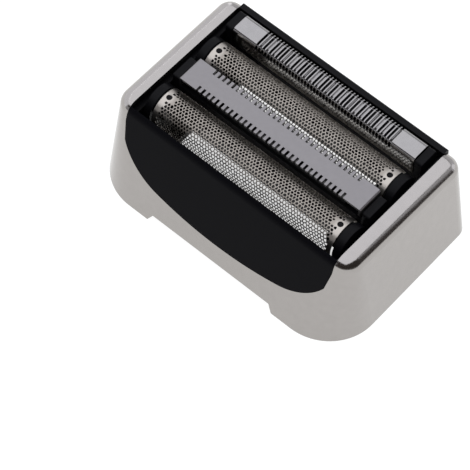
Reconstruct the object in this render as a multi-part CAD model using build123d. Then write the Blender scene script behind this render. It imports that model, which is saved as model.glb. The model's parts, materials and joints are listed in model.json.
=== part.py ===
from build123d import *
import os
from math import atan2, cos, sin, sqrt, tan

# Shaver foil head: a plated shell with two sprung foils, a middle trimmer and a slotted trimmer.
# Sizes are in millimetres. X runs along the foils, -Y is the front with the apron, and Z is up
# from the rim that the head stands on. The middle of the rim is the origin.

# Foils
foil_length = 37.7
foil_width = 6.9
foil_sheet = 0.2
foil_axis_height = 7.45
foil_lip = 0.65
foil_hole = 2.7
foil_hole_pitch = 5.0
foil_hole_rows = 3
foil_row_angle = 50.0
foil_plain_end = 2.0

# Middle trimmer
middle_width = 4.6
middle_comb_longer = 0.3
middle_comb_width = 5.0
middle_comb_sheet = 0.45
middle_comb_height = 11.7
middle_comb_fold = 1.8
middle_slot_pitch = 0.98
middle_slot_width = 0.45
middle_slot_depth = 1.0
middle_plain_end = 3.3
middle_tooth_pitch = 1.36

# Slotted trimmer
slotted_width = 3.94
slotted_comb_longer = 0.36
slotted_comb_sheet = 0.35
slotted_comb_height = 11.15
slotted_comb_leg = 3.6
slotted_corner = 0.5
slotted_slot_pitch = 0.87
slotted_slot_width = 0.4
slotted_slot_drop = 1.6
slotted_plain_end = 4.5
slotted_tooth_pitch = 1.55

# Blades and their drivers
blade_sheet = 0.4
blade_travel = 1.1
blade_end_room = 3.4
blade_plain_end = 0.6
blade_edge_inset = 0.35
driver_bar = 1.6
driver_inset = 0.25
driver_leg_length = 7.0
driver_leg_drop = 1.3
fork_width = 1.8
fork_height = 3.3

# Carriers, which end in caps that slide in the inner frame
cap_gap = 0.35
cap_length = 1.4
carrier_wall = 0.8
rail_low = 1.1
wall_drop = 1.8
wall_end_gap = 0.4
tongue_length = 0.75
tongue_width = 1.5
tongue_low = 1.2
tongue_high = 4.65
stud_inset = 0.9
stud_diameter = 0.85
bridge_thickness = 0.9
bridge_width = 4.6
support_gap = 0.15

# Gaps between the four units and round them
front_room = 0.8
unit_gap = 0.3
slotted_gap = 1.12
rear_room = 0.3
float_travel = 2.0

# Springs
spring_flattened = 0.25
spring_sheet = 0.18
spring_width = 1.1
spring_foot = 0.5
spring_flat = 1.2

# Inner frame and retaining frame
guide_gap = 0.3
end_wall = 1.5
front_wall = 0.8
front_wall_step = 0.2
front_wall_height = 8.9
rear_rail = 0.65
rear_rail_height = 3.0
groove_depth = 0.6
seat_depth = 4.5
ledge_thickness = 1.5
ledge_reach = 1.65
frame_height = 10.9
hook_length = 8.0
hook_thickness = 1.0
hook_drop = 2.9
hook_catch = 0.4
hook_inset = 1.5

# Shell
shell_wall = 1.0
strip_gap = 0.8
strip_width = 3.0
end_flare = 2.3
lip_width = 1.3
front_flare = 5.4
rear_lip = 1.2
rear_lip_gap = 0.34
rear_flare = 0.6
rim_front_radius = 9.5
top_front_radius = 2.7
rear_corner_radius = 2.6
strip_front_height = 19.15
strip_rear_height = 18.3
strip_edge_radius = 2.2
recess_length = 25.0
recess_height = 1.5
recess_slant = 0.9

# Apron and rear panel, whose lower edges are a shallow arc with a bend at each end
apron_low = 5.05
apron_rise = 1.35
apron_bend = 13.0
apron_side_height = 12.3
apron_lip = 0.45
rear_panel_low = 8.4
rear_panel_rise = 0.4
rear_panel_bend = 16.5
rear_panel_side_height = 13.5
rear_panel_edge_radius = 0.4
panel_side_inset = 0.6
apron_extra = 0.5
flange_width = 0.9
flange_thickness = 0.7
flange_height = 4.9

# Clearances
seat_clearance = 0.12
panel_clearance = 0.1
slide_clearance = 0.1
touch_gap = 0.05

# Places along X
middle_comb_length = foil_length + middle_comb_longer
slotted_comb_length = foil_length + slotted_comb_longer
blade_length = middle_comb_length - 2 * blade_end_room
cap_inner = max(foil_length, middle_comb_length, slotted_comb_length) / 2 + cap_gap / 2
cap_outer = cap_inner + cap_length
ledge_inner = foil_length / 2 - ledge_reach
end_wall_inner = cap_outer + guide_gap
window_half = end_wall_inner + strip_gap
top_half = window_half + strip_width
rim_half = top_half + end_flare
support_inner = blade_length / 2 + blade_travel + support_gap
support_outer = middle_comb_length / 2 - middle_comb_sheet - support_gap

# Places along Y, from the front of the rim to its rear
window_depth = (
    front_room + foil_width + unit_gap + middle_width + unit_gap + foil_width
    + slotted_gap + slotted_width + rear_room
)
rim_depth = front_flare + lip_width + window_depth + rear_lip_gap + rear_lip + rear_flare
recess_reach = recess_length / 2 + recess_slant
rim_front = -rim_depth / 2
rim_rear = rim_front + rim_depth
top_front = rim_front + front_flare
top_rear = rim_rear - rear_flare
window_front = top_front + lip_width
window_rear = top_rear - rear_lip
front_foil_y = window_front + front_room + foil_width / 2
middle_y = front_foil_y + foil_width / 2 + unit_gap + middle_width / 2
rear_foil_y = middle_y + middle_width / 2 + unit_gap + foil_width / 2
slotted_y = rear_foil_y + foil_width / 2 + slotted_gap + slotted_width / 2
units_rear = slotted_y + slotted_width / 2 + rear_room
front_wall_inner = window_front + front_wall_step

# Places along Z
spring_height = spring_flattened + float_travel
ledge_top = seat_depth + ledge_thickness
foot = ledge_top + spring_height + touch_gap
frame_top = ledge_top + frame_height

# Rough reach of a cutting block, well outside the head
far = 2 * rim_half


def block(x0, x1, y0, y1, z0, z1):
    """Box between two corners."""
    return Pos((x0 + x1) / 2, (y0 + y1) / 2, (z0 + z1) / 2) * Box(x1 - x0, y1 - y0, z1 - z0)


def both_ends(shape):
    """The shape with its mirror image at the other end of the head."""
    return shape + mirror(shape, about=Plane.YZ)


def both_sides(shape):
    """The shape with its mirror image on the other side of its unit."""
    return shape + mirror(shape, about=Plane.XZ)


def along_x(section, x0, x1):
    """Section drawn as (y, z), run along X."""
    return Pos(x0, 0, 0) * extrude(Plane.YZ * section, x1 - x0)


def row(count, pitch):
    """Evenly spaced places about zero."""
    return [(i - (count - 1) / 2) * pitch for i in range(count)]


def fill(length, pitch):
    """As many evenly spaced places as a length has room for."""
    return row(int(length / pitch), pitch)


def beyond(origin, normal):
    """Everything on the far side of a plane."""
    return Plane(origin=origin, z_dir=normal) * Pos(0, 0, far) * Box(4 * far, 4 * far, 2 * far)


def crown(drop):
    """Everything above the sloping tops of the end strips, lowered by drop."""
    fall = strip_front_height - strip_rear_height
    return beyond((0, top_front, strip_front_height - drop), (0, fall, top_rear - top_front))


def front_corner(inset):
    """Cone that touches the front and the right side, with the space that it rounds off.

    Both touch lines run from the rim to the cone's tip, which lies on the line where the front
    and the side would meet.
    """
    rim_radius = rim_front_radius - inset
    top_radius = top_front_radius - inset / 2
    tip_height = strip_front_height * rim_radius / (rim_radius - top_radius)
    front_lean = front_flare / strip_front_height
    side_lean = end_flare / strip_front_height
    low = Vector(rim_half - inset, rim_front + inset, 0)
    tip = low + Vector(-side_lean, front_lean, 1) * tip_height
    front_normal = Vector(0, -1, front_lean).normalized()
    side_normal = Vector(1, 0, side_lean).normalized()
    front_touch = (low - Vector(rim_radius, 0, 0) - tip).normalized()
    spread = atan2(-front_touch.dot(side_normal), 1 - front_normal.dot(side_normal))
    axis = front_touch * cos(spread) - front_normal * sin(spread)
    side_touch = axis + side_normal * sin(spread)
    cut_normal = front_touch.cross(side_touch)
    outside = beyond(tip, cut_normal)
    length = 2 * tip_height
    cone = Cone(0, length * tan(spread), length, align=(Align.CENTER, Align.CENTER, Align.MIN))
    return Plane(origin=tip, z_dir=axis) * cone, outside


def head_form(inset):
    """Solid form of the head, with its walls and its top moved in by inset.

    Four leaning faces meet in cones at the front corners and in small rounds at the rear ones.
    """
    tall = strip_front_height + strip_edge_radius
    share = tall / strip_front_height
    rim_x = rim_half - inset
    tall_x = rim_x - end_flare * share
    ends = Polyline((-rim_x, 0), (rim_x, 0), (tall_x, tall), (-tall_x, tall), close=True)
    rim_y = (rim_front + inset, rim_rear - inset)
    tall_y = (rim_y[0] + front_flare * share, rim_y[1] - rear_flare * share)
    depth = Polyline((rim_y[0], 0), (rim_y[1], 0), (tall_y[1], tall), (tall_y[0], tall), close=True)
    form = extrude(Plane.XZ * make_face(ends.edges()), far, both=True)
    form &= extrude(Plane.YZ * make_face(depth.edges()), far, both=True)
    rear_edges = form.edges().filter_by(lambda edge: edge.bounding_box().size.Z > tall / 2)
    form = fillet(rear_edges.sort_by(Axis.Y)[-2:], rear_corner_radius - inset / 2)
    cone, outside = front_corner(inset)
    slab = block(-far, far, -far, far, 0, tall)
    form = form - both_ends(outside) + both_ends(cone & outside & slab)
    return form - crown(inset)


def panel_section(low, rise, bend, side_height):
    """Front view of a panel: an arc along the bottom, a bend at each end and open upwards."""
    side = window_half - panel_side_inset
    floor_arc = ThreePointArc((-bend, low + rise), (0, low), (bend, low + rise))
    right_bend = TangentArc((bend, low + rise), (side, side_height), tangent=floor_arc % 1)
    left_bend = mirror(right_bend, about=Plane.YZ)
    shoulder = strip_rear_height - strip_edge_radius
    top = Polyline(
        (side, side_height), (window_half, shoulder), (window_half, far),
        (-window_half, far), (-window_half, shoulder), (-side, side_height),
    )
    return make_face([floor_arc, right_bend, *top.edges(), left_bend])


def panel_zone(section, grow, y0, y1):
    """Space that a panel fills between two depths, grown all round."""
    sized = offset(section, grow) if grow else section
    return Pos(0, y1, 0) * extrude(Plane.XZ * sized, y1 - y0)


front_section = panel_section(apron_low, apron_rise, apron_bend, apron_side_height)
rear_section = panel_section(
    rear_panel_low, rear_panel_rise, rear_panel_bend, rear_panel_side_height
)
solid_form = head_form(0)
top_edges = solid_form.faces().sort_by(Axis.Z)[-1].edges()
outer_form = fillet(top_edges, strip_edge_radius)
rear_form = fillet(top_edges, rear_panel_edge_radius)


def outer_shell():
    """Plated housing, open below, with a window between its end strips."""
    shell = outer_form - head_form(shell_wall)
    shell -= block(-window_half, window_half, window_front, window_rear, ledge_top, far)
    shell -= panel_zone(front_section, 0, -far, window_front)
    shell -= panel_zone(rear_section, 0, window_rear, far)
    recess = Polyline(
        (-recess_reach, -recess_height),
        (-recess_reach, 0),
        (-recess_length / 2, recess_height),
        (recess_length / 2, recess_height),
        (recess_reach, 0),
        (recess_reach, -recess_height),
        close=True,
    )
    return shell - panel_zone(make_face(recess.edges()), 0, -far, window_front)


def front_apron():
    """Panel flush with the shell's front, with a rolled top lip and a flange behind the shell."""
    panel = outer_form - head_form(shell_wall + apron_extra)
    panel &= panel_zone(front_section, -panel_clearance, -far, top_front + apron_lip)
    flange_low = ledge_top + seat_clearance
    panel -= head_form(shell_wall) & block(-far, far, -far, 0, 0, flange_low)
    flange_inset = shell_wall + panel_clearance
    flange = head_form(flange_inset) - head_form(flange_inset + flange_thickness)
    flange &= panel_zone(front_section, flange_width, -far, window_front)
    flange &= block(-far, far, -far, window_front, flange_low, flange_low + flange_height)
    return panel + flange


def inner_frame():
    """Frame with a guide groove for every carrier, a front wall and the rear panel."""
    end_wall_outer = end_wall_inner + end_wall
    front_wall_outer = front_wall_inner - front_wall
    ends = block(
        end_wall_inner, end_wall_outer, front_wall_outer, units_rear + rear_rail,
        ledge_top, frame_top,
    )
    groove_half = tongue_width / 2 + slide_clearance
    for y in (front_foil_y, middle_y, rear_foil_y, slotted_y):
        ends -= block(
            end_wall_inner - groove_depth, end_wall_inner + groove_depth,
            y - groove_half, y + groove_half,
            ledge_top - groove_depth, foot + tongue_high + touch_gap,
        )
    rail = block(
        -end_wall_outer, end_wall_outer, units_rear, units_rear + rear_rail,
        ledge_top, ledge_top + rear_rail_height,
    )
    front = block(
        -end_wall_outer, end_wall_outer, front_wall_outer, front_wall_inner,
        ledge_top, ledge_top + front_wall_height,
    )
    panel = rear_form - head_form(shell_wall + 2 * seat_clearance)
    panel &= panel_zone(rear_section, -panel_clearance, units_rear, far)
    panel -= block(-far, far, units_rear, window_rear, frame_top, far)
    frame = (both_ends(ends) + rail + front) & head_form(shell_wall + seat_clearance)
    apron_space = block(-far, far, -far, front_wall_inner, 0, far)
    frame -= apron_space - head_form(shell_wall + apron_extra + seat_clearance)
    return frame + panel


def retaining_frame():
    """Lower frame that closes the shell, with spring ledges at its ends and two snap hooks."""
    slab = head_form(shell_wall + seat_clearance)
    slab &= block(-far, far, -far, far, seat_depth, ledge_top)
    slab -= block(
        -ledge_inner, ledge_inner, front_wall_inner, units_rear, 0, far,
    )
    hook_outer = rim_half - shell_wall - hook_inset
    hook_inner = hook_outer - hook_thickness
    hook_low = seat_depth - hook_drop
    hook_section = Polyline(
        (hook_inner, seat_depth),
        (hook_inner, hook_low + 2 * hook_catch),
        (hook_inner - hook_catch, hook_low + hook_catch),
        (hook_inner, hook_low),
        (hook_outer, hook_low),
        (hook_outer, seat_depth),
        close=True,
    )
    hook = extrude(Plane.XZ * make_face(hook_section.edges()), hook_length / 2, both=True)
    return slab + both_ends(hook)


def arch(radius, drop):
    """Arch section about its axis: a half disc on a block that reaches down by drop."""
    upper = Circle(radius) & Pos(0, radius / 2) * Rectangle(2 * radius, radius)
    return upper + Pos(0, -drop / 2) * Rectangle(2 * radius, drop)


def foil():
    """Perforated sheet bent to an arch with straight legs, about the foot level of its carrier."""
    outer = foil_width / 2
    inner = outer - foil_sheet
    leg = foil_axis_height - rail_low - foil_lip
    section = arch(outer, leg) - arch(inner, 2 * leg)
    sheet = along_x(section, -foil_length / 2, foil_length / 2)
    hole_section = RegularPolygon(foil_hole / 2, 6, major_radius=False)
    hole = extrude(hole_section, 2 * foil_sheet, both=True)
    free_length = foil_length - 2 * foil_plain_end
    holes = []
    for index, angle in enumerate(row(foil_hole_rows, foil_row_angle)):
        shift = (index % 2) / 2
        count = int(free_length / foil_hole_pitch - shift)
        for x in row(count, foil_hole_pitch):
            holes.append(Rot(angle, 0, 0) * Pos(x, 0, inner) * hole)
    locating = Cylinder(stud_diameter / 2 + slide_clearance, 4 * foil_sheet)
    for side in (-1, 1):
        holes.append(Pos(side * (foil_length / 2 - stud_inset), 0, inner) * locating)
    return Pos(0, 0, foil_axis_height) * (sheet - holes)


def unit_ends(section):
    """Caps of one carrier with the tongues that slide in the inner frame."""
    cap = along_x(section, cap_inner, cap_outer)
    tongue = block(
        cap_outer, cap_outer + tongue_length, -tongue_width / 2, tongue_width / 2,
        tongue_low, tongue_high,
    )
    return both_ends(cap + tongue)


def long_walls(outer, top):
    """Two long walls that reach down between the ledges of the retaining frame."""
    deep_half = ledge_inner - wall_end_gap
    wall = block(-cap_inner, cap_inner, outer - carrier_wall, outer, 0, top)
    wall += block(-deep_half, deep_half, outer - carrier_wall, outer, -wall_drop, 0)
    return both_sides(wall)


def foil_carrier():
    """Carrier of a foil: arched caps, rails inside the sheet's legs, and a stud at each end."""
    outer = foil_width / 2
    inner = outer - foil_sheet
    caps = unit_ends(Pos(0, foil_axis_height) * arch(outer, foil_axis_height))
    rail_outer = inner - slide_clearance
    rail_inner = rail_outer - carrier_wall
    rail = block(-cap_inner, cap_inner, rail_inner, rail_outer, rail_low, tongue_high)
    lip_top = rail_low + foil_lip - touch_gap
    rail += block(-cap_inner, cap_inner, rail_inner, outer, rail_low, lip_top)
    bridge_outer = inner - touch_gap
    bridge_section = Circle(bridge_outer) - Circle(bridge_outer - bridge_thickness)
    bridge_section &= Pos(0, bridge_outer / 2) * Rectangle(bridge_width, bridge_outer)
    stud_x = foil_length / 2 - stud_inset
    bridge = along_x(bridge_section, stud_x - stud_diameter, cap_inner)
    stud_height = outer - bridge_outer + bridge_thickness / 2 - touch_gap
    stud = Pos(stud_x, 0, outer - touch_gap - stud_height / 2)
    bridge += stud * Cylinder(stud_diameter / 2, stud_height)
    return caps + both_sides(rail) + both_ends(Pos(0, 0, foil_axis_height) * bridge)


def driver(half_width, low, top):
    """Bar that carries a blade, with a leg that ends in the drive fork."""
    leg_half = driver_leg_length / 2
    leg_side = half_width - carrier_wall
    leg_low = -driver_leg_drop
    bar = block(-blade_length / 2, blade_length / 2, -half_width, half_width, low, top)
    bar += block(-leg_half, leg_half, -leg_side, leg_side, leg_low, low)
    return bar - block(
        -fork_width / 2, fork_width / 2, -far, far, leg_low - fork_height, leg_low + fork_height,
    )


# Heights and half widths of the middle trimmer, from its feet and its middle line
middle_comb_low = middle_comb_height - middle_comb_sheet
middle_blade_top = middle_comb_low - touch_gap
middle_blade_low = middle_blade_top - blade_sheet
middle_wall_inner = middle_width / 2 - carrier_wall
middle_driver_low = middle_blade_low - driver_bar
middle_wall_top = middle_driver_low - touch_gap


def middle_comb():
    """Flat comb plate with slots along both edges and its ends folded down."""
    half = middle_comb_length / 2
    leg_low = middle_comb_height - middle_comb_fold
    section = Polyline(
        (-half, leg_low), (-half, middle_comb_height), (half, middle_comb_height),
        (half, leg_low), (half - middle_comb_sheet, leg_low),
        (half - middle_comb_sheet, middle_comb_low), (middle_comb_sheet - half, middle_comb_low),
        (middle_comb_sheet - half, leg_low),
        close=True,
    )
    comb = extrude(Plane.XZ * make_face(section.edges()), middle_comb_width / 2, both=True)
    folds = comb.edges().filter_by(Axis.Y).group_by(Axis.Z)[-1]
    comb = fillet(folds, middle_comb_sheet)
    slot_inner = middle_comb_width / 2 - middle_slot_depth
    slots = []
    for x in fill(middle_comb_length - 2 * middle_plain_end, middle_slot_pitch):
        slot = block(
            x - middle_slot_width / 2, x + middle_slot_width / 2, slot_inner, far, leg_low, far,
        )
        slots += [slot, mirror(slot, about=Plane.XZ)]
    return comb - slots


def middle_carrier():
    """Carrier of the middle trimmer: caps, long walls with a sliding ledge, and comb supports."""
    half = middle_width / 2
    cap_top = middle_comb_low - middle_comb_sheet
    cap = Pos(0, cap_top / 2) * RectangleRounded(middle_width, cap_top, carrier_wall / 2)
    caps = unit_ends(cap)
    walls = long_walls(half, middle_wall_top)
    support = block(
        support_inner, support_outer, -middle_wall_inner - touch_gap,
        middle_wall_inner + touch_gap, middle_wall_top - carrier_wall, middle_comb_low,
    )
    return caps + walls + both_ends(support)


def middle_blade():
    """Flat blade with teeth along both edges, close under the comb."""
    edge = middle_comb_width / 2 - blade_edge_inset
    half = blade_length / 2
    blade = block(-half, half, -edge, edge, middle_blade_low, middle_blade_top)
    slots = []
    for x in fill(blade_length - 2 * blade_plain_end, middle_tooth_pitch):
        slot = block(
            x - middle_tooth_pitch / 4, x + middle_tooth_pitch / 4,
            edge - middle_slot_depth, far, 0, far,
        )
        slots += [slot, mirror(slot, about=Plane.XZ)]
    return blade - slots


# Heights and half widths of the slotted trimmer, from its feet and its middle line
slotted_inner = slotted_width / 2 - slotted_comb_sheet
slotted_comb_low = slotted_comb_height - slotted_comb_sheet
slotted_leg_end = slotted_comb_low - slotted_comb_leg
slotted_blade_top = slotted_comb_low - touch_gap
slotted_blade_low = slotted_blade_top - blade_sheet
slotted_driver_low = slotted_leg_end + carrier_wall
slotted_wall_outer = slotted_width / 2 - touch_gap


def slotted_comb():
    """Sheet folded to a U over the blade, with slots across its top and down both sides."""
    half = slotted_comb_length / 2
    height = slotted_comb_height - slotted_leg_end
    outer = Pos(0, slotted_comb_height - height / 2) * Rectangle(slotted_width, height)
    outer = chamfer(outer.vertices().group_by(Axis.Y)[-1], slotted_corner)
    inner = Pos(0, slotted_comb_low - height / 2) * Rectangle(2 * slotted_inner, height)
    comb = along_x(outer - inner, -half, half)
    slots = []
    for x in fill(slotted_comb_length - 2 * slotted_plain_end, slotted_slot_pitch):
        slots.append(block(
            x - slotted_slot_width / 2, x + slotted_slot_width / 2, -far, far,
            slotted_comb_height - slotted_slot_drop, far,
        ))
    return comb - slots


def slotted_carrier():
    """Carrier of the slotted trimmer: rounded caps, walls under the comb's legs, and supports."""
    cap_top = slotted_comb_low
    cap = Pos(0, cap_top / 2) * Rectangle(slotted_width, cap_top)
    cap = fillet(cap.vertices().group_by(Axis.Y)[-1], slotted_corner)
    caps = unit_ends(cap)
    wall_top = slotted_leg_end - touch_gap
    walls = long_walls(slotted_wall_outer, wall_top)
    seat_outer = slotted_inner - touch_gap
    lip = block(
        -cap_inner, cap_inner, slotted_wall_outer - carrier_wall, seat_outer,
        wall_top - carrier_wall, slotted_driver_low - touch_gap,
    )
    support = block(
        support_inner, support_outer, -seat_outer, seat_outer,
        wall_top - carrier_wall, slotted_comb_low,
    )
    return caps + walls + both_sides(lip) + both_ends(support)


def slotted_blade():
    """Flat blade with slots across it, close under the slotted comb."""
    edge = slotted_inner - slide_clearance
    half = blade_length / 2
    blade = block(-half, half, -edge, edge, slotted_blade_low, slotted_blade_top)
    slot_half = edge - blade_sheet
    slots = []
    for x in fill(blade_length - 2 * blade_plain_end, slotted_tooth_pitch):
        slots.append(block(
            x - slotted_tooth_pitch / 4, x + slotted_tooth_pitch / 4,
            -slot_half, slot_half, 0, far,
        ))
    return blade - slots


def springs(span, y):
    """Two bent leaf springs on the ledges of the retaining frame, under one carrier's caps."""
    half = span / 2
    slope = half - spring_flat / 2
    steep = spring_sheet * sqrt(1 + (slope / (spring_height - spring_sheet)) ** 2)
    right = [
        (spring_flat / 2, spring_height),
        (half, spring_sheet),
        (half + spring_foot, spring_sheet),
        (half + spring_foot, 0),
        (half - steep, 0),
        (spring_flat / 2 - steep, spring_height - spring_sheet),
    ]
    left = [(-across, height) for across, height in reversed(right)]
    section = make_face(Polyline(*right, *left, close=True).edges())
    middle_x = (cap_inner + cap_outer) / 2
    leaf = along_x(section, middle_x - spring_width / 2, middle_x + spring_width / 2)
    return Pos(0, y, ledge_top) * both_ends(leaf)


def on_unit(shape, y):
    """A unit's piece, moved from its feet to its place in the head."""
    return Pos(0, y, foot) * shape


foil_span = foil_width - 2 * carrier_wall - 2 * spring_foot
trimmer_span = slotted_width - 2 * spring_foot

pieces = {
    "outer_shell": outer_shell(),
    "front_apron": front_apron(),
    "inner_frame": inner_frame(),
    "retaining_frame": retaining_frame(),
    "front_foil": on_unit(foil(), front_foil_y),
    "front_foil_carrier": on_unit(foil_carrier(), front_foil_y),
    "front_foil_springs": springs(foil_span, front_foil_y),
    "rear_foil": on_unit(foil(), rear_foil_y),
    "rear_foil_carrier": on_unit(foil_carrier(), rear_foil_y),
    "rear_foil_springs": springs(foil_span, rear_foil_y),
    "middle_comb": on_unit(middle_comb(), middle_y),
    "middle_carrier": on_unit(middle_carrier(), middle_y),
    "middle_blade": on_unit(middle_blade(), middle_y),
    "middle_driver": on_unit(
        driver(middle_width / 2 - driver_inset, middle_driver_low, middle_blade_low), middle_y
    ),
    "middle_springs": springs(trimmer_span, middle_y),
    "slotted_comb": on_unit(slotted_comb(), slotted_y),
    "slotted_carrier": on_unit(slotted_carrier(), slotted_y),
    "slotted_blade": on_unit(slotted_blade(), slotted_y),
    "slotted_driver": on_unit(
        driver(slotted_inner - driver_inset, slotted_driver_low, slotted_blade_low),
        slotted_y,
    ),
    "slotted_springs": springs(trimmer_span, slotted_y),
}

os.makedirs("parts", exist_ok=True)
for name, shape in pieces.items():
    export_step(shape, f"parts/{name}.step")
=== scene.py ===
import json
import math
import random

import bmesh
import bpy
from mathutils import Matrix, Vector


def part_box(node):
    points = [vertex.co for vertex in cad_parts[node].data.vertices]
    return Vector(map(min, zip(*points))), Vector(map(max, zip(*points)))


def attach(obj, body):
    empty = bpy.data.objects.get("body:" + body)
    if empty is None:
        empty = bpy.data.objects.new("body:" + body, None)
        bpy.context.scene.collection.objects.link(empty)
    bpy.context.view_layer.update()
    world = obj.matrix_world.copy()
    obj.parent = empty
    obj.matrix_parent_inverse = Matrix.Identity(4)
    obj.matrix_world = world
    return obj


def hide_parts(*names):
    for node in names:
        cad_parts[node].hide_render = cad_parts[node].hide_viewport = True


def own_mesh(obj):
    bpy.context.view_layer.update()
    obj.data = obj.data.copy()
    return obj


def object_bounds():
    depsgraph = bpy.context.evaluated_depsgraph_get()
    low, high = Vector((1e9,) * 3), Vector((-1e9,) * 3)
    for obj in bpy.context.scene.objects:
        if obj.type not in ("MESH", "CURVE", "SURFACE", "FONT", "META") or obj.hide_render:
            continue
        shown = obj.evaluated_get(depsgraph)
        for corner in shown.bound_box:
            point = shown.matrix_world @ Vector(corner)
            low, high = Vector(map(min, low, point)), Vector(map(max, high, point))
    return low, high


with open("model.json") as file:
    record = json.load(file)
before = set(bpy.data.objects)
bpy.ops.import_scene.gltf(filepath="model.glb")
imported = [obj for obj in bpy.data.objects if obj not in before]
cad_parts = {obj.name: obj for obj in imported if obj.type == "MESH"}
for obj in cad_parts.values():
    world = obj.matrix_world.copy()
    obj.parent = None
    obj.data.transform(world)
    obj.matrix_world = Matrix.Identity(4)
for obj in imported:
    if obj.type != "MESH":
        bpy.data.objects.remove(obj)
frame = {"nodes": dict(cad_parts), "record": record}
cad_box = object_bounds()

# Shaver foil head: finishes, fine sheets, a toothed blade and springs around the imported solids.
# Lengths are in metres, and MM turns a size in millimetres into metres.
MM = 0.001

# Edges that turn by more than this are sharp
sharp_angle = math.radians(40)

# Bevels on the solids that show as they are: width and number of segments
bevels = {
    "outer_shell": (0.12 * MM, 2),
    "front_apron": (0.06 * MM, 2),
    "inner_frame": (0.06 * MM, 2),
    "retaining_frame": (0.1 * MM, 2),
    "front_foil_carrier": (0.08 * MM, 2),
    "rear_foil_carrier": (0.08 * MM, 2),
    "middle_carrier": (0.08 * MM, 2),
    "slotted_carrier": (0.08 * MM, 2),
    "middle_comb": (0.03 * MM, 1),
    "middle_blade": (0.03 * MM, 1),
}

# Grain of the finishes: a fine noise for gloss and relief, and a broader one for the tint
fine_detail = 4
broad_detail = 2
broad_factor = 12
grain_height = 0.02 * MM
even_grain = (1, 1, 1)
long_grain = (0.04, 1, 1)

# Perforated sheet of the foils
hole_pitch = 0.6 * MM
hole_rows = 29
hole_columns = 60
cell_shift = 0.105 * MM
hole_share = (0.72, 0.83)
hole_rounding = 0.93
foil_sheet = 0.07 * MM
locating_hole_inset = 0.9 * MM
locating_hole_radius = 0.52 * MM
locating_hole_rows = 3
locating_hole_columns = 4
foil_seed = 7

# Painted highlight on the plain ends of the foils, a brighter colour for their sheen: distances from an
# end where the change begins and is complete
foil_highlight_from = 1.95 * MM
foil_highlight_to = 1.25 * MM
foil_end_highlight_colour = (0.47, 0.44, 0.4)

# Folded sheet of the slotted comb
comb_sheet = 0.35 * MM
comb_fold_radius = 0.9 * MM
comb_fold_steps = 6
comb_slots = 44
comb_slot_pitch = 0.652 * MM
comb_slot_width = 0.45 * MM
comb_slot_drop = 1.6 * MM

# Painted light on the walls of the slotted comb, a brighter colour for the light and reflections on
# them: depths under its top where the change begins and is complete
comb_wall_light_from = 1.15 * MM
comb_wall_light_to = 1.75 * MM
comb_wall_light_colour = (0.68, 0.66, 0.63)

# Blade under the slotted comb
blade_gaps = 20
blade_tooth_pitch = 1.52 * MM
blade_tooth_width = 0.5 * MM
blade_rail_width = 0.15 * MM
blade_rail_height = 0.1 * MM
blade_tooth_slope = 0.3 * MM

# Springs
spring_sheet = 0.18 * MM
spring_flat = 1.2 * MM
spring_foot = 0.5 * MM
spring_steps = 9

# Camera, aimed from a place in front of the head, to its right and above it
image_pixels = 470
camera_azimuth = math.radians(40.716)
camera_elevation = math.radians(59.242)
camera_roll = math.radians(0.573)
camera_distance = 443.68 * MM
camera_focal_pixels = 2792.68
camera_right_offset = 6.960 * MM
camera_up_offset = 16.188 * MM
camera_aim_height = 20.0 * MM
camera_clip_start = 10 * MM
sensor_width = 36.0

# Floor, with a patch inside the head that lies in its shade
floor_size = 6.0
floor_colour = (0.15, 0.15, 0.15, 1)
floor_roughness = 0.9
floor_light = (1, 1, 1, 1)
floor_glow = 0.95
shade_size = (44 * MM, 26 * MM)
shade_glow = 0.68

# Room, and its soft lights: size, place, turn and glow
room_colour = (0.05, 0.042, 0.038, 1)
cool_light = (0.97, 0.985, 1.05)
quarter_turn = math.pi / 2
soft_lights = {
    "overhead_light": ((1.25, 1.5), (-0.12, 0.1, 0.75), (0, 0, 0), 1.35),
    "rear_light": ((2.4, 0.84), (0, 1.1, 0.42), (-quarter_turn, 0, 0), 0.75),
    "left_light": ((1.06, 2.3), (-1.0, 0.2, 0.54), (0, -quarter_turn, 0), 1.15),
    "right_light": ((0.3, 0.5), (0.25, 0.405, 0.17), (0, quarter_turn, 0), 0.6),
    "front_light": ((1.1, 0.52), (-0.75, -1.05, 0.34), (quarter_turn, 0, 0), 0.4),
}


def noise(tree, scale, detail, stretch):
    """Noise in the object's own coordinates, stretched along its axes."""
    place = tree.nodes.new("ShaderNodeTexCoord")
    mapping = tree.nodes.new("ShaderNodeMapping")
    mapping.inputs["Scale"].default_value = stretch
    texture = tree.nodes.new("ShaderNodeTexNoise")
    texture.inputs["Scale"].default_value = scale
    texture.inputs["Detail"].default_value = detail
    tree.links.new(place.outputs["Object"], mapping.inputs["Vector"])
    tree.links.new(mapping.outputs["Vector"], texture.inputs["Vector"])
    return texture.outputs["Fac"]


def spread(tree, value, low, high):
    """A value between nought and one, turned into a range."""
    node = tree.nodes.new("ShaderNodeMapRange")
    node.inputs["To Min"].default_value = low
    node.inputs["To Max"].default_value = high
    tree.links.new(value, node.inputs["Value"])
    return node.outputs["Result"]


def tint(tree, value, dark, light):
    """A colour between two colours."""
    node = tree.nodes.new("ShaderNodeMix")
    node.data_type = "RGBA"
    node.inputs["A"].default_value = (*dark, 1)
    node.inputs["B"].default_value = (*light, 1)
    tree.links.new(value, node.inputs["Factor"])
    return node.outputs["Result"]


def bump(tree, value, strength):
    """Surface normal roughened by the height of the grain."""
    node = tree.nodes.new("ShaderNodeBump")
    node.inputs["Strength"].default_value = strength
    node.inputs["Distance"].default_value = grain_height
    tree.links.new(value, node.inputs["Height"])
    return node.outputs["Normal"]


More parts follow.
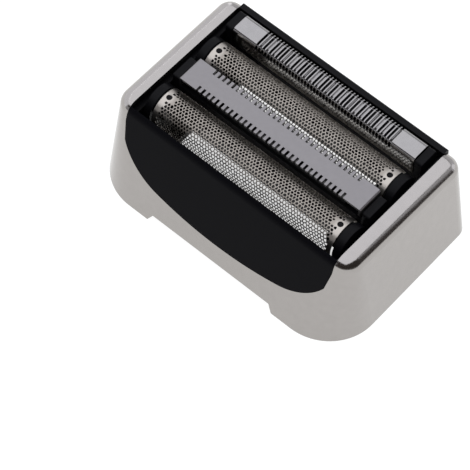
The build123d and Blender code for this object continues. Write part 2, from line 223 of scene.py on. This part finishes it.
def material(name, dark, light, roughness, grain, relief, stretch=even_grain, metallic=1, specular=0.5):
    """Finish with a fine grain in its gloss and surface, and a broader one in its colour."""
    made = bpy.data.materials.new(name)
    made.use_nodes = True
    tree = made.node_tree
    shader = tree.nodes["Principled BSDF"]
    shader.inputs["Metallic"].default_value = metallic
    shader.inputs["Specular IOR Level"].default_value = specular
    fine = noise(tree, grain, fine_detail, stretch)
    broad = noise(tree, grain / broad_factor, broad_detail, even_grain)
    tree.links.new(tint(tree, broad, dark, light), shader.inputs["Base Color"])
    tree.links.new(spread(tree, fine, *roughness), shader.inputs["Roughness"])
    tree.links.new(bump(tree, fine, relief), shader.inputs["Normal"])
    return made


def blend_along(finish, axis, start, end, colour):
    """Blends a finish into another colour between two distances from the origin along an axis."""
    tree = finish.node_tree
    place = tree.nodes.new("ShaderNodeTexCoord")
    split = tree.nodes.new("ShaderNodeSeparateXYZ")
    reach = tree.nodes.new("ShaderNodeMath")
    reach.operation = "ABSOLUTE"
    ramp = tree.nodes.new("ShaderNodeMapRange")
    ramp.inputs["From Min"].default_value = start
    ramp.inputs["From Max"].default_value = end
    mix = tree.nodes.new("ShaderNodeMix")
    mix.data_type = "RGBA"
    mix.inputs["B"].default_value = (*colour, 1)
    base = tree.nodes["Principled BSDF"].inputs["Base Color"]
    tree.links.new(place.outputs["Object"], split.inputs["Vector"])
    tree.links.new(split.outputs[axis], reach.inputs[0])
    tree.links.new(reach.outputs["Value"], ramp.inputs["Value"])
    tree.links.new(ramp.outputs["Result"], mix.inputs["Factor"])
    tree.links.new(base.links[0].from_socket, mix.inputs["A"])
    tree.links.new(mix.outputs["Result"], base)


# Finishes of the record's slots
finishes = {
    "shell_plate": material(
        "satin_nickel_plate", (0.362, 0.346, 0.331), (0.395, 0.377, 0.361),
        roughness=(0.14, 0.2), grain=9000, relief=0.05,
    ),
    "apron_black": material(
        "matt_black_panel", (0.0015, 0.0015, 0.0025), (0.002, 0.002, 0.0035),
        roughness=(0.45, 0.55), grain=12000, relief=0.1, metallic=0, specular=0.05,
    ),
    "black_plastic": material(
        "moulded_black", (0.002, 0.002, 0.0025), (0.004, 0.004, 0.005),
        roughness=(0.35, 0.48), grain=8000, relief=0.08, metallic=0, specular=0.1,
    ),
    "foil_nickel": material(
        "foil_nickel", (0.29, 0.266, 0.235), (0.343, 0.315, 0.281),
        roughness=(0.3, 0.4), grain=9000, relief=0.05,
    ),
    "comb_steel": material(
        "brushed_comb_steel", (0.222, 0.214, 0.218), (0.247, 0.238, 0.242),
        roughness=(0.3, 0.4), grain=12000, relief=0.1, stretch=long_grain,
    ),
    # Darker blade steel: partly the oil-dark steel of the blades, partly painted shade for the blades
    # lying under the combs
    "blade_steel": material(
        "oily_blade_steel_painted_shade", (0.12, 0.118, 0.115), (0.16, 0.157, 0.152),
        roughness=(0.3, 0.42), grain=12000, relief=0.1, stretch=long_grain,
    ),
    "spring_steel": material(
        "spring_steel", (0.5, 0.49, 0.47), (0.58, 0.57, 0.55),
        roughness=(0.2, 0.3), grain=9000, relief=0.05, stretch=long_grain,
    ),
}

# Finishes of the slotted trimmer alone
comb_polish_and_wall_light = material(
    "polished_comb_steel_painted_wall_light", (0.3, 0.293, 0.29), (0.345, 0.338, 0.334),
    roughness=(0.12, 0.18), grain=12000, relief=0.03, stretch=long_grain,
)
# Lighter copy of the blade steel for the slotted blade; the record's blade steel is the darker copy with
# painted shade
bright_blade = material(
    "bright_blade_steel", (0.34, 0.335, 0.332), (0.4, 0.394, 0.39),
    roughness=(0.3, 0.42), grain=12000, relief=0.1, stretch=long_grain,
)

foil_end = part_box("front_foil")[1][0]
comb_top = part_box("slotted_comb")[1][2]
# Painted highlight: the plain ends of the foils are painted brighter
blend_along(
    finishes["foil_nickel"], "X", foil_end - foil_highlight_from, foil_end - foil_highlight_to, foil_end_highlight_colour
)
# Painted light and reflection: the walls of the slotted comb are painted brighter below its top
blend_along(comb_polish_and_wall_light, "Z", comb_top - comb_wall_light_from, comb_top - comb_wall_light_to, comb_wall_light_colour)
for subpart in frame["record"]["subparts"]:
    node = frame["nodes"][subpart["node"]]
    for slot in node.material_slots:
        slot.link = "OBJECT"
        slot.material = finishes[subpart["material_slot"]]


def soften(name, width, segments):
    """Rounds the edges of a solid with small bevels."""
    edges = frame["nodes"][name].modifiers.new("edges", "BEVEL")
    edges.width = width
    edges.segments = segments
    edges.limit_method = "ANGLE"
    edges.angle_limit = sharp_angle


def piece(name, mesh, slot, body, finish=None):
    """New piece riding on a body, with its slot's finish or another one."""
    made = bpy.data.objects.new(name, mesh)
    bpy.context.scene.collection.objects.link(made)
    mesh.materials.append(finish or finishes[slot])
    mesh.shade_smooth()
    mesh.set_sharp_from_angle(angle=sharp_angle)
    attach(made, body)
    return made


def thick_sheet(name, points, faces, place):
    """Closed mesh of a sheet: an outer face, an inner face and the walls of its edges and holes."""
    count = len(points)
    places = [place(point, False) for point in points] + [place(point, True) for point in points]
    sides = {}
    for face in faces:
        for here, after in zip(face, face[1:] + face[:1]):
            sides[here, after] = (after, here, here + count, after + count)
    walls = [wall for (here, after), wall in sides.items() if (after, here) not in sides]
    inner = [[corner + count for corner in reversed(face)] for face in faces]
    made = bpy.data.meshes.new(name)
    made.from_pydata(places, [], faces + inner + walls)
    solid = bmesh.new()
    solid.from_mesh(made)
    unused = [corner for corner in solid.verts if not corner.link_faces]
    bmesh.ops.delete(solid, geom=unused, context="VERTS")
    bmesh.ops.recalc_face_normals(solid, faces=solid.faces)
    solid.to_mesh(made)
    solid.free()
    return made


def grid_faces(width, height, slotted=False):
    """Faces between rows of points. A slotted grid is open in every second column but at both edges."""
    faces = []
    for row in range(height - 1):
        inside = 0 < row < height - 2
        for column in range(width - 1):
            if slotted and inside and column % 2:
                continue
            corner = row * width + column
            faces.append([corner, corner + 1, corner + 1 + width, corner + width])
    return faces


def slot_columns(start, end, count, pitch, width):
    """Both ends of a slotted sheet, and between them the two sides of each slot."""
    columns = [start]
    for index in range(count):
        x = (index - (count - 1) / 2) * pitch
        columns += [x - width / 2, x + width / 2]
    return columns + [end]


class FoilPattern:
    """Unrolled foil: points as length along the foil and arc from its ridge, and faces between them."""

    def __init__(self, columns, rows):
        self.points = [(x, v) for v in rows for x in columns]
        self.faces = []
        self.width = len(columns)

    def corner(self, row, column):
        """Number of the point where a row and a column meet."""
        return row * self.width + column

    def around(self, low, high, left, right):
        """Corners round a block of patches, from its lower left."""
        corners = [self.corner(low, column) for column in range(left, right)]
        corners += [self.corner(row, right) for row in range(low, high)]
        corners += [self.corner(high, column) for column in range(right, left, -1)]
        return corners + [self.corner(row, left) for row in range(high, low, -1)]

    def patch(self, row, column):
        """Unbroken patch between two rows and two columns."""
        self.faces.append(self.around(row, row + 1, column, column + 1))

    def nudge(self, row, column, across, up):
        """Moves one corner of the pattern."""
        x, v = self.points[self.corner(row, column)]
        self.points[self.corner(row, column)] = (x + across, v + up)

    def outline(self, corners):
        """Corner points of a cell, each with the middle of the side after it."""
        points = [self.points[corner] for corner in corners]
        for here, after in zip(points, points[1:] + points[:1]):
            yield here, [(first + last) / 2 for first, last in zip(here, after)]

    def hole(self, corners, ring):
        """Hole in a cell, with two points of its ring for each of the cell's corners."""
        numbers = range(len(self.points), len(self.points) + len(ring))
        self.points += ring
        for index, here in enumerate(corners):
            after = corners[(index + 1) % len(corners)]
            first, middle, last = (numbers[(2 * index + step) % len(ring)] for step in (0, 1, 2))
            self.faces.append([here, middle, first])
            self.faces.append([here, after, last, middle])

    def cell_hole(self, corners, share):
        """Hole with the shape of its cell, drawn in to leave even bars, with rounded corners."""
        points = [self.points[corner] for corner in corners]
        centre = [sum(values) / len(points) for values in zip(*points)]
        ring = []
        for here, middle in self.outline(corners):
            for point, part in ((here, share * hole_rounding), (middle, share)):
                ring.append(tuple(mid + part * (value - mid) for mid, value in zip(centre, point)))
        self.hole(corners, ring)

    def round_hole(self, corners, centre, radius):
        """Round hole in a cell."""
        ring = []
        for sides in self.outline(corners):
            for x, v in sides:
                angle = math.atan2(v - centre[1], x - centre[0])
                ring.append((centre[0] + radius * math.cos(angle), centre[1] + radius * math.sin(angle)))
        self.hole(corners, ring)


def perforated_foil(node, body):
    """Thin sheet bent to an arch with straight legs, perforated but for its edges and locating holes."""
    low, high = (Vector(corner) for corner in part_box(node))
    radius = (high.y - low.y) / 2
    centre_y = (high.y + low.y) / 2
    axis_z = high.z - radius
    quarter = radius * math.pi / 2
    leg = axis_z - low.z
    half_pitch = hole_pitch / 2
    row_height = hole_pitch * math.sqrt(3) / 2
    # Corners of a honeycomb lie by turns a sixth of a row above and below the line between two rows
    lift = row_height / 6
    draw = random.Random(foil_seed + round(centre_y / MM))

    def place(point, inside):
        """Place on the outer or inner face of the bent sheet."""
        x, v = point
        out = radius - foil_sheet if inside else radius
        over = max(abs(v) - quarter, 0)
        angle = math.copysign(min(abs(v), quarter), v) / radius
        return x, centre_y + out * math.sin(angle), axis_z + out * math.cos(angle) - over

    reach = hole_columns * half_pitch
    columns = [index * half_pitch - reach for index in range(2 * hole_columns + 1)]
    columns = [-high.x, *columns, high.x]
    rows = [(index - hole_rows / 2) * row_height for index in range(hole_rows + 1)]
    rows = [-quarter - leg, *rows, quarter + leg]
    first_row = 1
    middle_row = first_row + (hole_rows - locating_hole_rows) // 2
    end_column = len(columns) - 2
    pattern = FoilPattern(columns, rows)
    for row in range(first_row + 1, first_row + hole_rows):
        for column in range(2, end_column):
            lowered = (column - row + first_row) % 2 == 0
            up = -lift if lowered else lift
            pattern.nudge(
                row, column,
                draw.uniform(-cell_shift, cell_shift), up + draw.uniform(-cell_shift, cell_shift),
            )
    for row in range(len(rows) - 1):
        first, last = 1, end_column
        if middle_row <= row < middle_row + locating_hole_rows:
            first += locating_hole_columns
            last -= locating_hole_columns
        else:
            pattern.patch(row, 0)
            pattern.patch(row, end_column)
        if not first_row <= row < first_row + hole_rows:
            for column in range(1, end_column):
                pattern.patch(row, column)
            continue
        shift = (row - first_row) % 2
        if shift:
            pattern.patch(row, first)
            pattern.patch(row, last - 1)
        for column in range(first + shift, last - shift, 2):
            cell = pattern.around(row, row + 1, column, column + 2)
            pattern.cell_hole(cell, draw.uniform(*hole_share))
    for side, left in ((-1, 0), (1, end_column - locating_hole_columns)):
        right = left + locating_hole_columns + 1
        cell = pattern.around(middle_row, middle_row + locating_hole_rows, left, right)
        pattern.round_hole(cell, (side * (high.x - locating_hole_inset), 0), locating_hole_radius)
    mesh = thick_sheet(node + "_sheet", pattern.points, pattern.faces, place)
    sheet = piece(node + "_sheet", mesh, "foil_nickel", body)
    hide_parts(node)


def slotted_sheet(node, body):
    """Sheet folded over at both long sides, with slots across its top and a little down its sides."""
    low, high = (Vector(corner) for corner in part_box(node))
    middle_y = (low.y + high.y) / 2
    half = (high.y - low.y) / 2
    fold = [math.pi / 2 * step / comb_fold_steps for step in range(comb_fold_steps + 1)]
    rear = [(half, low.z, 0), (half, high.z - comb_slot_drop, 0)]
    for angle in fold:
        y = half - comb_fold_radius * (1 - math.cos(angle))
        z = high.z - comb_fold_radius * (1 - math.sin(angle))
        rear.append((y, z, angle))
    lines = rear + [(-y, z, math.pi - angle) for y, z, angle in reversed(rear)]
    columns = slot_columns(low.x, high.x, comb_slots, comb_slot_pitch, comb_slot_width)
    points = [(x, line) for line in lines for x in columns]
    faces = grid_faces(len(columns), len(lines), slotted=True)

    def place(point, inside):
        """Place on the outer or inner face of the folded sheet."""
        x, (y, z, angle) = point
        depth = comb_sheet if inside else 0
        return x, middle_y + y - depth * math.cos(angle), z - depth * math.sin(angle)

    mesh = thick_sheet(node + "_sheet", points, faces, place)
    sheet = piece(node + "_sheet", mesh, "comb_steel", body, comb_polish_and_wall_light)
    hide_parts(node)


def toothed_blade(node, body):
    """Flat blade with narrow teeth between two low rails."""
    low, high = (Vector(corner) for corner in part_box(node))
    middle_y = (low.y + high.y) / 2
    edge = (high.y - low.y) / 2
    rail_edge = edge - blade_rail_width
    rail_top = low.z + blade_rail_height
    rear = [(edge, rail_top), (rail_edge, rail_top), (rail_edge - blade_tooth_slope, high.z)]
    lines = [(-y, z) for y, z in rear] + rear[::-1]
    gap_width = blade_tooth_pitch - blade_tooth_width
    columns = slot_columns(low.x, high.x, blade_gaps, blade_tooth_pitch, gap_width)
    points = [(x, line) for line in lines for x in columns]
    faces = grid_faces(len(columns), len(lines), slotted=True)

    def place(point, inside):
        """Place on the upper or lower face of the blade."""
        x, (y, z) = point
        return x, middle_y + y, low.z if inside else z

    mesh = thick_sheet(node + "_teeth", points, faces, place)
    blade = piece(node + "_teeth", mesh, "blade_steel", body, bright_blade)
    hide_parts(node)


def leaf_springs(node):
    """Bent leaf springs, shaped as they stand at rest; in the shaver they flatten as their unit is
    pressed down.
    """
    low, high = (Vector(corner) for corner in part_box(node))
    middle_y = (low.y + high.y) / 2
    half = (high.y - low.y) / 2
    slope = half - spring_foot - spring_flat / 2
    rise = high.z - low.z - spring_sheet
    line = [(-half, 0), (spring_foot - half, 0)]
    for index in range(1, spring_steps):
        share = index / spring_steps
        line.append((spring_foot - half + slope * share, rise * (1 - math.cos(math.pi * share)) / 2))
    line.append((-spring_flat / 2, rise))
    line += [(-y, z) for y, z in reversed(line)]
    reach = [abs(corner.co.x) for corner in frame["nodes"][node].data.vertices]
    points = []
    faces = []
    for left, right in ((-max(reach), -min(reach)), (min(reach), max(reach))):
        for index, (y, z) in enumerate(line):
            if index:
                corner = len(points)
                faces.append([corner - 2, corner - 1, corner + 1, corner])
            points += [(left, middle_y + y, low.z + z), (right, middle_y + y, low.z + z)]

    def place(point, inside):
        """Place on the lower or upper face of a leaf."""
        x, y, z = point
        return x, y, z + spring_sheet if inside else z

    mesh = thick_sheet(node + "_leaves", points, faces, place)
    leaves = piece(node + "_leaves", mesh, "spring_steel", "head_frame")
    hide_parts(node)
    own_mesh(leaves)


def camera():
    """Camera at the photograph's place, with its framing given by where it stands."""
    right = Vector((math.cos(camera_azimuth), math.sin(camera_azimuth), 0))
    back = Vector((
        math.sin(camera_azimuth) * math.cos(camera_elevation),
        -math.cos(camera_azimuth) * math.cos(camera_elevation),
        math.sin(camera_elevation),
    ))
    up = back.cross(right)
    turned_right = right * math.cos(camera_roll) + up * math.sin(camera_roll)
    turned_up = up * math.cos(camera_roll) - right * math.sin(camera_roll)
    eye = Vector((0, 0, camera_aim_height)) + back * camera_distance
    eye -= turned_right * camera_right_offset + turned_up * camera_up_offset
    data = bpy.data.cameras.new("camera")
    data.sensor_width = sensor_width
    data.lens = camera_focal_pixels * sensor_width / image_pixels
    data.clip_start = camera_clip_start
    made = bpy.data.objects.new("camera", data)
    turn = Matrix((turned_right, turned_up, back)).transposed().to_4x4()
    made.matrix_world = Matrix.Translation(eye) @ turn
    bpy.context.scene.collection.objects.link(made)
    bpy.context.scene.camera = made


def floor_finish(name, glow):
    """Pale matt finish that glows."""
    made = bpy.data.materials.new(name)
    made.use_nodes = True
    shader = made.node_tree.nodes["Principled BSDF"]
    shader.inputs["Base Color"].default_value = floor_colour
    shader.inputs["Roughness"].default_value = floor_roughness
    shader.inputs["Specular IOR Level"].default_value = 0
    shader.inputs["Emission Color"].default_value = floor_light
    shader.inputs["Emission Strength"].default_value = glow
    return made


def floor():
    """Pale floor that glows a little, as on a light table, with a patch in shade inside the head."""
    mesh = bpy.data.meshes.new("floor")
    level = cad_box[0][2]
    half = floor_size / 2
    shade_x, shade_y = (size / 2 for size in shade_size)
    columns = (-half, -shade_x, shade_x, half)
    rows = (-half, -shade_y, shade_y, half)
    faces = grid_faces(len(columns), len(rows))
    mesh.from_pydata([(x, y, level) for y in rows for x in columns], [], faces)
    mesh.materials.append(floor_finish("pale_floor", floor_glow))
    mesh.materials.append(floor_finish("shaded_floor", shade_glow))
    middle = len(faces) // 2
    mesh.polygons[middle].material_index = 1
    made = bpy.data.objects.new("floor", mesh)
    bpy.context.scene.collection.objects.link(made)


def softbox(name, size, place, turn, glow):
    """Flat soft light of a given size, with the same glow all over it."""
    data = bpy.data.lights.new(name, "AREA")
    data.shape = "RECTANGLE"
    data.size, data.size_y = size
    data.energy = size[0] * size[1] * math.pi * glow
    data.color = cool_light
    made = bpy.data.objects.new(name, data)
    made.location = place
    made.rotation_euler = turn
    bpy.context.scene.collection.objects.link(made)


def room():
    """Dim room with a large soft light overhead and lower ones on all four sides."""
    for name, (size, place, turn, glow) in soft_lights.items():
        softbox(name, size, place, turn, glow)
    world = bpy.data.worlds.new("room")
    world.use_nodes = True
    world.node_tree.nodes["Background"].inputs["Color"].default_value = room_colour
    bpy.context.scene.world = world
    bpy.context.scene.view_settings.view_transform = "Standard"


perforated_foil("front_foil", "front_foil_unit")
perforated_foil("rear_foil", "rear_foil_unit")
slotted_sheet("slotted_comb", "slotted_trimmer_unit")
toothed_blade("slotted_blade", "slotted_blade_unit")
for joint in frame["record"]["behaviour"]["joints"]:
    for spring in joint.get("deforming_nodes", []):
        leaf_springs(spring["node"])
for name, (width, segments) in bevels.items():
    soften(name, width, segments)

camera()
floor()
room()
